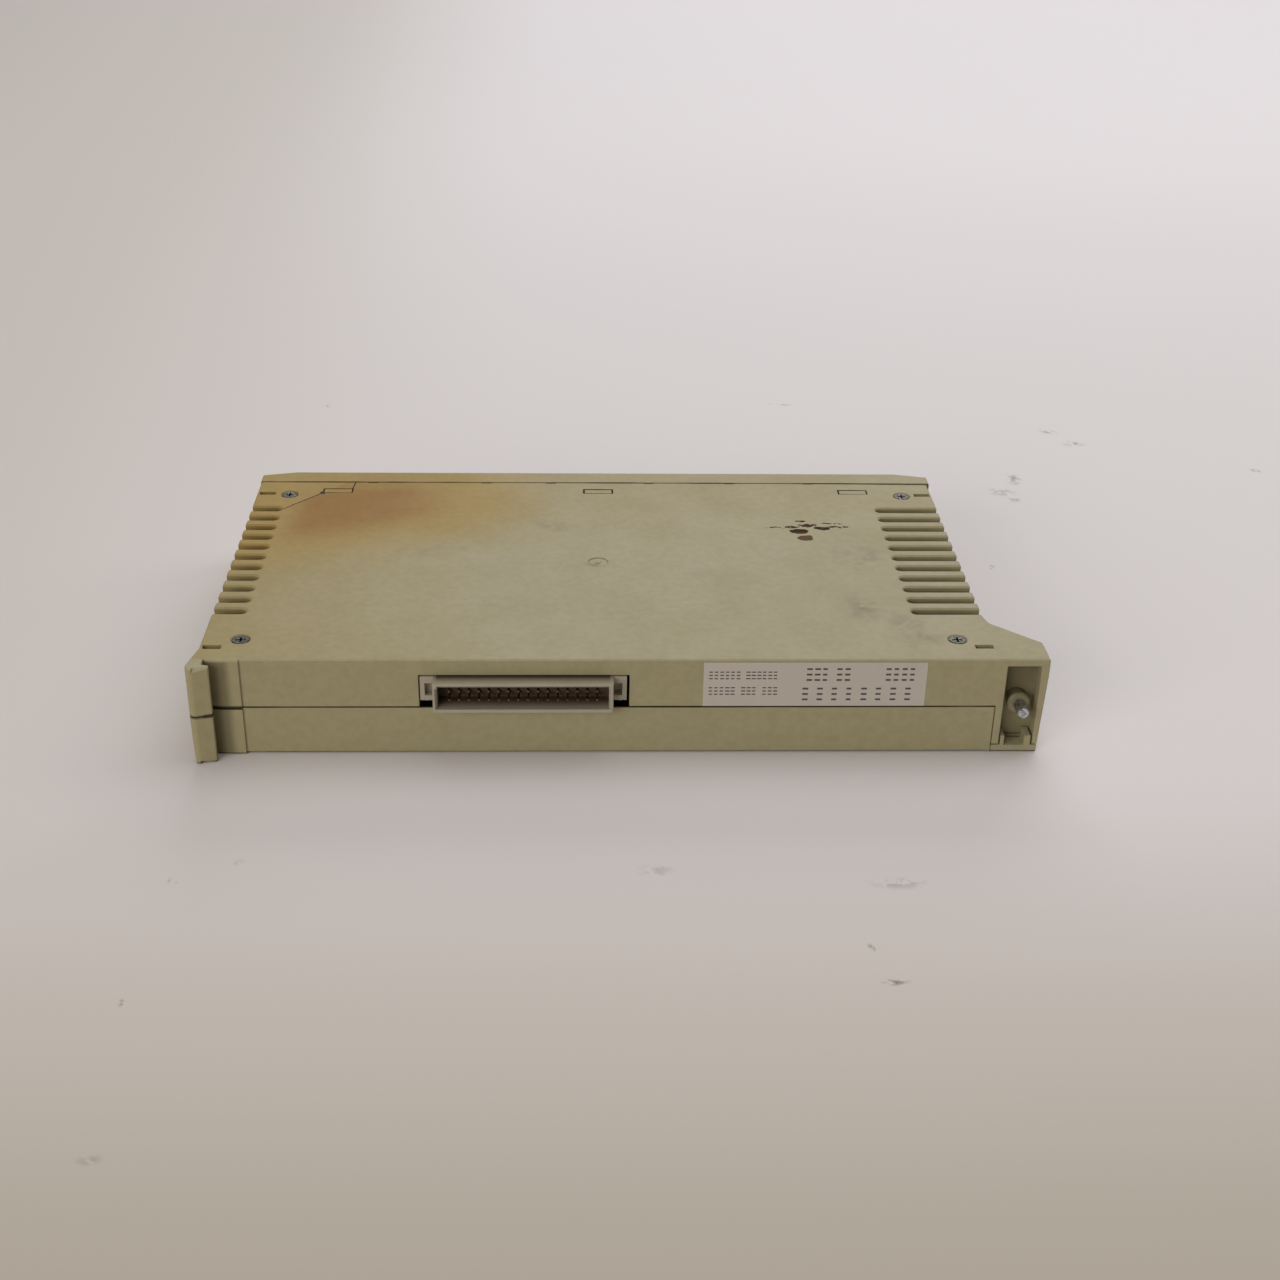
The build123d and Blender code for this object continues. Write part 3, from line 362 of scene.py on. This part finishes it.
def seam_dirt_and_edge_shade(graph, color):
    """Dark dirt in the front seam and round the snap windows, and painted shade along the lowest edge
    where it meets the floor.
    """
    x, y, z = (graph.axis(name) for name in "XYZ")
    reach = graph.ramp(graph.noise(60, detail=3), 0.3, 0.7, 0.19 * MM, 0.31 * MM)
    patchy = graph.ramp(graph.noise(55, detail=2), 0.42, 0.6, 0.4, 1.0)
    seam = graph.span(graph.less(graph.apart(y, FRONT_SEAM_Y), reach), 0.26, 0.12)
    # the second term is painted shade along the lowest edge
    mask = graph.largest(graph.product(seam, patchy), graph.span(z, 0.62, 0.35))
    for middle_x, middle_y in SNAP_WINDOWS:
        along = graph.less(graph.apart(x, middle_x * MM), WINDOW_HALF[0] * MM)
        across = graph.less(graph.apart(y, middle_y * MM), WINDOW_HALF[1] * MM)
        edge = graph.math("ABSOLUTE", graph.largest(along, across))
        outline = graph.span(graph.less(edge, reach), 0.1, -0.05)
        mask = graph.largest(mask, graph.product(outline, patchy))
    return graph.mix(graph.product(mask, SEAM_STRENGTH), color, SEAM_DIRT_AND_SHADE)


def parting_line(graph, color):
    """Dirt in the line between the two shells, wider behind the hook, and painted shadow in the corner
    behind the hook; the ear has no line.
    """
    x, y, z = (graph.axis(name) for name in "XYZ")
    reach = graph.ramp(graph.noise(45, detail=3), 0.3, 0.7, 0.17 * MM, 0.31 * MM)
    away = graph.apart(z, SPLIT_Z)
    line = graph.product(
        graph.span(graph.less(away, reach), 0.04, -0.06),
        graph.span(x, 98.1, 97.9),
    )
    wide = graph.product(
        graph.span(away, 0.62, 0.5),
        graph.span(x, -97.9, -98.1),
        graph.span(x, -107.4, -107.0, 0.55, 1.0),
        graph.span(x, -111.4, -111.1),
    )
    # painted shadow of the hook's lip in the corner behind the hook
    corner = graph.product(
        graph.span(x, -99.8, -102.2),
        graph.span(x, -107.6, -106.9),
        graph.span(y, -60.4, -59.4),
        graph.span(y, -56.0, -57.0),
        graph.span(z, 27.9, 27.0, 0.0, 0.42),
    )
    color = graph.mix(corner, color, SEAM_DIRT_AND_SHADE)
    return graph.mix(graph.product(graph.largest(line, wide), SEAM_STRENGTH), color, SEAM_DIRT_AND_SHADE)


def slot_shade(graph, color):
    """Painted shade that darkens the walls of the louvre slots with depth."""
    y = graph.axis("Y")
    wall = graph.ramp(graph.facing("Y"), 0.5, 0.8)
    louvre_field = graph.product(graph.span(y, -34, -33), graph.span(y, 40, 39))
    depth = graph.span(graph.axis("Z"), 27.6, 25.4, 0.12, 0.5)
    return graph.mix(graph.product(wall, louvre_field, depth), color, SLOT_WALL_SHADE)


def pocket_shade(graph, color):
    """Painted shade in the depth of the ear's pocket, thickest at its top."""
    x, y, z = (graph.axis(name) for name in "XYZ")
    share = graph.product(
        graph.span(y, -56.8, -53.5),
        graph.span(x, 99.9, 100.1),
        graph.span(x, 109.1, 108.9),
        graph.span(z, 26.3, 25.9),
        graph.span(z, 8, 24, 0.25, 0.62),
    )
    return graph.mix(share, color, POCKET_DEPTH_SHADE)


def plastic_surface(graph, crack=None, residue=None):
    """Roughness and normal of the moulded plastic."""
    roughness = graph.ramp(graph.noise(60, detail=4), 0.3, 0.7, 0.58, 0.7)
    if residue is not None:
        roughness = graph.largest(roughness, graph.product(residue, RESIDUE_ROUGHNESS))
    normal = graph.rounded(PLASTIC_ROUNDING)
    normal = graph.bump(graph.noise(2600, detail=2), 0.10, 0.05 * MM, normal)
    normal = graph.bump(graph.noise(38, detail=2), 0.05, 0.5 * MM, normal)
    if crack is not None:
        normal = graph.bump(graph.less(1.0, crack), 0.6, 0.3 * MM, normal)
    return roughness, normal


def upper_shell_plastic():
    graph = Graph("upper_shell_plastic")
    color = heat_stain(graph, beige_base(graph), 1.0)
    color, residue = sticker_residue(graph, smudges(graph, color))
    color = slot_shade(graph, grime_specks(graph, color))
    color = pocket_shade(graph, parting_line(graph, seam_dirt_and_edge_shade(graph, color)))
    crack = crack_mask(graph)
    color = graph.mix(crack, color, CRACK_BROWN)
    return graph.finish(color, *plastic_surface(graph, crack, residue), specular=PLASTIC_SHEEN)


def lower_shell_plastic():
    graph = Graph("shell_plastic")
    color = heat_stain(graph, beige_base(graph), 0.0)
    color = slot_shade(graph, grime_specks(graph, color))
    color = parting_line(graph, seam_dirt_and_edge_shade(graph, color))
    return graph.finish(color, *plastic_surface(graph), specular=PLASTIC_SHEEN)


def front_plastic():
    graph = Graph("front_plastic")
    color = heat_stain(graph, beige_base(graph), 0.4)
    color = seam_dirt_and_edge_shade(graph, grime_specks(graph, color))
    return graph.finish(color, *plastic_surface(graph), specular=PLASTIC_SHEEN)


# ---------------------------------------------------------------- other materials
THREAD_PITCH = 0.5 * MM
SHROUD_MIDDLE = -25.5 * MM              # the bus connector's middle along X
METAL_ROUNDING = 0.12 * MM
MOULDED_ROUNDING = 0.15 * MM
MOULDED_DUST = (0.42, 0.40, 0.34)


def steel(name, color, roughness):
    """Plated steel with fine scratches and dull patches."""
    graph = Graph(name)
    dull = graph.ramp(graph.noise(700, detail=4), 0.35, 0.7)
    tone = graph.mix(dull, color, tuple(c * 0.72 for c in color))
    rough = graph.ramp(graph.noise(1400, detail=3), 0.3, 0.7, roughness * 0.8, roughness * 1.5)
    normal = graph.bump(graph.noise(5200, detail=1), 0.15, 0.02 * MM, graph.rounded(METAL_ROUNDING))
    return graph.finish(tone, rough, normal, metallic=1.0)


def threaded_zinc():
    """Bright zinc plate with the thread's rings as a bump, and oily dark streaks."""
    graph = Graph("threaded_zinc")
    wave = graph.math("SINE", graph.product(graph.axis("Y"), 2 * math.pi / THREAD_PITCH))
    streaks = graph.ramp(graph.noise(520, detail=3, distortion=0.6), 0.42, 0.58)
    tone = graph.mix(streaks, (0.33, 0.345, 0.36), (0.60, 0.62, 0.65))
    normal = graph.bump(wave, 0.35, 0.1 * MM, graph.rounded(METAL_ROUNDING))
    rough = graph.ramp(graph.noise(900, detail=2), 0.3, 0.7, 0.24, 0.38)
    return graph.finish(tone, rough, normal, metallic=1.0)


def moulded_grain(graph):
    return graph.bump(graph.noise(1900, detail=2), 0.12, 0.04 * MM, graph.rounded(MOULDED_ROUNDING))


def moulded(name, color, roughness):
    """Plain moulded plastic with a slight mottle and dust."""
    graph = Graph(name)
    tone = graph.mix(graph.noise(120, detail=4), tuple(c * 0.8 for c in color), color)
    dust = graph.product(graph.ramp(graph.noise(650, detail=3), 0.56, 0.8), 0.22)
    tone = graph.mix(dust, tone, MOULDED_DUST)
    rough = graph.ramp(graph.noise(90, detail=3), 0.3, 0.7, roughness * 0.85, roughness * 1.15)
    return graph.finish(tone, rough, moulded_grain(graph))


def connector_polyester():
    """Greyish moulding, darkened deep inside the shroud by dirt and by painted shade from its lip."""
    graph = Graph("connector_polyester")
    tone = graph.mix(graph.noise(120, detail=4), (0.36, 0.32, 0.235), (0.44, 0.385, 0.29))
    inside = graph.span(graph.apart(graph.axis("X"), SHROUD_MIDDLE), 22.6, 22.2)
    depth = graph.span(graph.axis("Y"), -61.6, -56.5)
    # dirt together with painted shade, deepening towards the back of the shroud
    tone = graph.mix(graph.product(inside, depth), tone, (0.115, 0.072, 0.042))
    rough = graph.ramp(graph.noise(90, detail=3), 0.3, 0.7, 0.42, 0.55)
    return graph.finish(tone, rough, moulded_grain(graph))


def circuit_laminate():
    """Green solder mask with paler copper tracks under it."""
    graph = Graph("circuit_laminate")
    tracks = graph.tree.nodes.new("ShaderNodeTexVoronoi")
    tracks.feature = "DISTANCE_TO_EDGE"
    tracks.inputs["Scale"].default_value = 190
    tracks.inputs["Randomness"].default_value = 0.35
    graph.feed(tracks.inputs["Vector"], graph.place)
    line = graph.ramp(tracks.outputs["Distance"], 0.09, 0.05)
    color = graph.mix(line, (0.018, 0.105, 0.04), (0.04, 0.2, 0.075))
    color = graph.mix(graph.product(graph.noise(80), 0.25), color, (0.1, 0.13, 0.06))
    normal = graph.bump(line, 0.25, 0.05 * MM)
    return graph.finish(color, graph.ramp(graph.noise(200), 0.3, 0.7, 0.28, 0.42), normal)


def clear_plastic(name, tint, roughness):
    """Clear moulding with a little haze."""
    graph = Graph(name)
    graph.shader.inputs["Transmission Weight"].default_value = 0.85
    graph.shader.inputs["IOR"].default_value = 1.5
    rough = graph.ramp(graph.noise(150, detail=3), 0.35, 0.7, roughness, roughness * 2.2)
    haze = graph.mix(graph.noise(60, detail=3), tint, tuple(c * 0.9 for c in tint))
    return graph.finish(haze, rough)


def paper(name, color, spot):
    """Fibrous paper with darker spots of dirt."""
    graph = Graph(name)
    fibres = graph.noise(1500, detail=5, roughness=0.7)
    tone = graph.mix(fibres, tuple(c * 0.93 for c in color), color)
    dirt = graph.product(graph.ramp(graph.noise(130, detail=4), 0.5, 0.8), 0.35)
    tone = graph.mix(dirt, tone, spot)
    return graph.finish(tone, 0.55, graph.bump(fibres, 0.06, 0.03 * MM))


def ink():
    graph = Graph("printing_ink")
    tone = graph.mix(graph.noise(2400, detail=3), (0.035, 0.033, 0.035), (0.11, 0.105, 0.10))
    return graph.finish(tone, 0.5)


SCUFF_GREY = (0.16, 0.145, 0.13)

# faint marks on the floor: plan centre, half size and strength
FLOOR_MARKS = (
    ((143.5, 124.5), (4, 6), 0.6), ((137.5, 113), (7, 5), 0.4), ((140, 106.5), (4, 3), 0.45),
    ((121.4, 52.8), (1.2, 1.8), 0.9), ((167, 169), (5, 4), 0.5), ((173, 157), (6, 3), 0.55),
    ((234, 133), (2.5, 2.5), 0.8), ((-106, 193), (1.5, 3), 0.7), ((68, 197), (7, 1.2), 0.45),
    ((-106, -114), (1.8, 2.2), 0.9), ((-92, -106), (1.5, 1.5), 0.5), ((54, -140), (1.2, 2.2), 0.8),
    ((58, -152), (4.5, 1.3), 0.85), ((-109, -158), (1, 2), 0.6), ((64, -116), (9, 3), 0.35),
    ((7, -111), (6, 3), 0.25), ((-105, -204), (3, 2), 0.35),
)


def floor_paper():
    """White paper with painted light: brighter far back, darker to the left and towards the viewer;
    with a few scuffs.
    """
    graph = Graph("floor_paper")
    tone = graph.mix(graph.noise(3.2, detail=4), (0.84, 0.79, 0.785), (0.87, 0.825, 0.825))
    y = graph.axis("Y")
    # painted light and shade: brighter far back, darker to the left and towards the viewer
    tone = graph.mix(graph.ramp(y, 0.15, 0.7), tone, (0.95, 0.905, 0.91))
    tone = graph.mix(graph.ramp(graph.axis("X"), -0.02, -0.24), tone, (0.76, 0.71, 0.66))
    tone = graph.mix(graph.ramp(y, -0.06, -0.17), tone, (0.72, 0.655, 0.60))
    tone = graph.mix(graph.ramp(y, -0.13, -0.27), tone, (0.535, 0.475, 0.385))
    torn = graph.ramp(graph.noise(420, detail=3), 0.42, 0.56)
    place = graph.wobble(90, 5)
    for centre, half_size, strength in FLOOR_MARKS:
        share = graph.product(graph.blob(centre, half_size, place), strength, torn)
        tone = graph.mix(share, tone, SCUFF_GREY)
    return graph.finish(tone, 0.75, graph.bump(graph.noise(700, detail=3), 0.05, 0.1 * MM))


def dress(nodes):
    """Gives every CAD node its material."""
    zinc = steel("bright_zinc", (0.60, 0.62, 0.65), 0.28)
    dull_zinc = steel("dull_zinc", (0.118, 0.112, 0.095), 0.43)
    terminal_green = moulded("terminal_green", (0.045, 0.19, 0.075), 0.42)
    epoxy = moulded("chip_epoxy", (0.022, 0.022, 0.024), 0.55)
    clear = clear_plastic("clear_guides", (0.86, 0.89, 0.9), 0.12)
    laminate = circuit_laminate()
    bronze = steel("contact_bronze", (0.27, 0.14, 0.08), 0.42)
    finishes = {
        "upper_case_shell": upper_shell_plastic(),
        "lower_case_shell": lower_shell_plastic(),
        "front_frame": front_plastic(),
        "front_door": moulded("door_plastic", (0.40, 0.355, 0.235), 0.5),
        # painted shade: the bush's colour is drawn darker to stand for the shade of the ear's pocket it
        # sits in
        "screw_bush": moulded("bush_nylon", (0.235, 0.205, 0.115), 0.45),
        "case_screws": dull_zinc,
        "mounting_screw": threaded_zinc(),
        "board_screws": zinc,
        "bus_connector_screws": zinc,
        "regulator_screw": zinc,
        "terminal_screws": zinc,
        "terminal_cages": steel("nickelled_brass", (0.62, 0.58, 0.48), 0.3),
        "bus_connector_pins": bronze,
        "board_link_pins": bronze,
        "bus_connector_body": connector_polyester(),
        "legend_strip": paper("legend_paper", (0.80, 0.79, 0.73), (0.6, 0.57, 0.48)),
        "legend_cover": clear_plastic("clear_cover", (0.93, 0.94, 0.94), 0.06),
        "light_guides": clear,
        "indicator_leds": moulded("led_red", (0.30, 0.012, 0.01), 0.2),
        "indicator_board": laminate,
        "main_circuit_board": laminate,
        "optocouplers": epoxy,
        "bus_logic_chips": epoxy,
        "voltage_regulator": epoxy,
        "input_resistors": moulded("resistor_lacquer", (0.40, 0.27, 0.13), 0.3),
        "filter_capacitors": moulded("capacitor_sleeve", (0.02, 0.03, 0.09), 0.25),
        "decoupling_capacitors": moulded("capacitor_dip", (0.42, 0.13, 0.03), 0.3),
        "regulator_heatsink": steel("sink_aluminium", (0.55, 0.56, 0.58), 0.4),
        "rating_label": paper("label_paper", (0.565, 0.505, 0.435), (0.47, 0.41, 0.33)),
    }
    for number in range(1, 5):
        finishes[f"terminal_block_{number}"] = terminal_green
    for name, material in finishes.items():
        slots = nodes[name].data.materials
        slots.clear()
        slots.append(material)


# ---------------------------------------------------------------- printed marks
def bars_piece(name, bars, material):
    """Thin printed bars as one mesh; each bar is two corners of a box."""
    mesh = bpy.data.meshes.new(name)
    shape = bmesh.new()
    for low, high in bars:
        size = Vector(high) - Vector(low)
        middle = (Vector(low) + Vector(high)) / 2
        place = Matrix.Translation(middle) @ Matrix.Diagonal((*size, 1.0))
        bmesh.ops.create_cube(shape, size=1.0, matrix=place)
    shape.to_mesh(mesh)
    shape.free()
    mesh.materials.append(material)
    piece = bpy.data.objects.new(name, mesh)
    bpy.context.scene.collection.objects.link(piece)
    return piece


# rows of label print, as shares of the label: level, height, pitch, then start and count of each group
LABEL_ROWS = (
    (0.62, 0.15, 0.0245, ((0.025, 6), (0.19, 6))),
    (0.26, 0.15, 0.0245, ((0.025, 5), (0.17, 3), (0.265, 3))),
    (0.58, 0.25, 0.0360, ((0.460, 3), (0.595, 2), (0.815, 4))),
    (0.13, 0.25, 0.0660, ((0.445, 8),)),
)
STROKES = 3                             # each mark is a stack of this many thin dashes
MARK_WIDTH = 0.024                      # widest mark, as a share of the label
MARK_SHARE = 0.72                       # widest mark, as a share of the pitch
DASH_HEIGHT = 0.17                      # as a share of the row's height
INK_PROUD = 0.02 * MM
INK_SUNK = 0.01 * MM


def label_bars():
    """Rows of plain stacked dashes in place of the label's print."""
    low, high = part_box("rating_label")
    dice = random.Random(4)
    width, height = high[0] - low[0], high[2] - low[2]
    bars = []
    for level, row_height, pitch, groups in LABEL_ROWS:
        shares = [start + place * pitch for start, count in groups for place in range(count)]
        for share in shares:
            left = low[0] + share * width
            right = left + min(MARK_WIDTH, MARK_SHARE * pitch) * dice.uniform(0.8, 1.1) * width
            for stroke in range(STROKES):
                bottom = low[2] + (level + row_height * stroke / (STROKES - 1)) * height
                top = bottom + row_height * DASH_HEIGHT * height
                bars.append(((left, low[1] - INK_PROUD, bottom), (right, low[1] + INK_SUNK, top)))
    return bars


def add_print():
    piece = bars_piece("label_print", label_bars(), ink())
    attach(piece, "module")


# ---------------------------------------------------------------- stage
CAMERA_PLACE = (-12.757 * MM, -462.197 * MM, 253.308 * MM)
CAMERA_PITCH = math.radians(28.475)     # looking down
CAMERA_YAW = math.radians(2.423)        # turned to the right
CAMERA_ROLL = math.radians(1.169)
CAMERA_LENS = 50.75
SENSOR = 36.0

FLOOR_SIZE = 8.0
WORLD_TINT = (1.0, 0.96, 0.90, 1.0)
WORLD_STRENGTH = 0.18
CENTRE = (0.0, 0.0, 0.0)
# soft area lights: place, aim, size, power and colour
LIGHTS = {
    "overhead": ((0.2, 0.3, 1.3), CENTRE, (1.4, 1.2), 5.6, (1.0, 0.99, 1.0)),
    "far_back": ((0.5, 2.6, 1.3), (0.2, 1.0, 0.0), (2.5, 1.2), 28.0, (0.98, 0.98, 1.02)),
    "right": ((1.4, 0.5, 0.9), CENTRE, (1.0, 1.0), 4.0, (1.0, 1.0, 1.02)),
    "front_left": ((-0.9, -1.3, 0.62), (0.0, 0.0, 0.02), (1.2, 0.8), 11.3, (1.0, 0.98, 0.95)),
}


def add_camera():
    forward = Vector((
        math.sin(CAMERA_YAW) * math.cos(CAMERA_PITCH),
        math.cos(CAMERA_YAW) * math.cos(CAMERA_PITCH),
        -math.sin(CAMERA_PITCH),
    ))
    right = Vector((math.cos(CAMERA_YAW), -math.sin(CAMERA_YAW), 0.0))
    up = right.cross(forward)
    rolled_right = right * math.cos(CAMERA_ROLL) + up * math.sin(CAMERA_ROLL)
    rolled_up = up * math.cos(CAMERA_ROLL) - right * math.sin(CAMERA_ROLL)
    turn = Matrix((rolled_right, rolled_up, -forward)).transposed()
    data = bpy.data.cameras.new("photo_camera")
    data.sensor_width = SENSOR
    data.lens = CAMERA_LENS
    data.clip_start = 0.01
    camera = bpy.data.objects.new("photo_camera", data)
    camera.matrix_world = Matrix.Translation(CAMERA_PLACE) @ turn.to_4x4()
    bpy.context.scene.collection.objects.link(camera)
    bpy.context.scene.camera = camera


def add_floor():
    bpy.ops.mesh.primitive_plane_add(size=FLOOR_SIZE, location=CENTRE)
    floor = bpy.context.object
    floor.name = "floor"
    floor.data.materials.append(floor_paper())


def add_area(name, place, aim, size, power, color):
    data = bpy.data.lights.new(name, "AREA")
    data.shape = "RECTANGLE"
    data.size, data.size_y = size
    data.energy = power
    data.color = color
    light = bpy.data.objects.new(name, data)
    light.location = place
    light.rotation_euler = (Vector(aim) - Vector(place)).to_track_quat("-Z", "Y").to_euler()
    bpy.context.scene.collection.objects.link(light)


def add_light():
    world = bpy.data.worlds.new("studio")
    world.use_nodes = True
    background = world.node_tree.nodes["Background"]
    background.inputs["Color"].default_value = WORLD_TINT
    background.inputs["Strength"].default_value = WORLD_STRENGTH
    bpy.context.scene.world = world
    for name, setting in LIGHTS.items():
        add_area(name, *setting)
    bpy.context.scene.view_settings.view_transform = "Standard"


# ---------------------------------------------------------------- build
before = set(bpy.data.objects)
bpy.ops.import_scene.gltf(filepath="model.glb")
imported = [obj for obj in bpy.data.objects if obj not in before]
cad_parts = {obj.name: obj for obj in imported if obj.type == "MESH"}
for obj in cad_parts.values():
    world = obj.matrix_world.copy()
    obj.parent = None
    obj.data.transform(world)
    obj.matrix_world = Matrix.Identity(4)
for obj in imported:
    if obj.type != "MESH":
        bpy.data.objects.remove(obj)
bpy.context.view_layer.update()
dress(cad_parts)
add_print()
add_floor()
add_light()
add_camera()
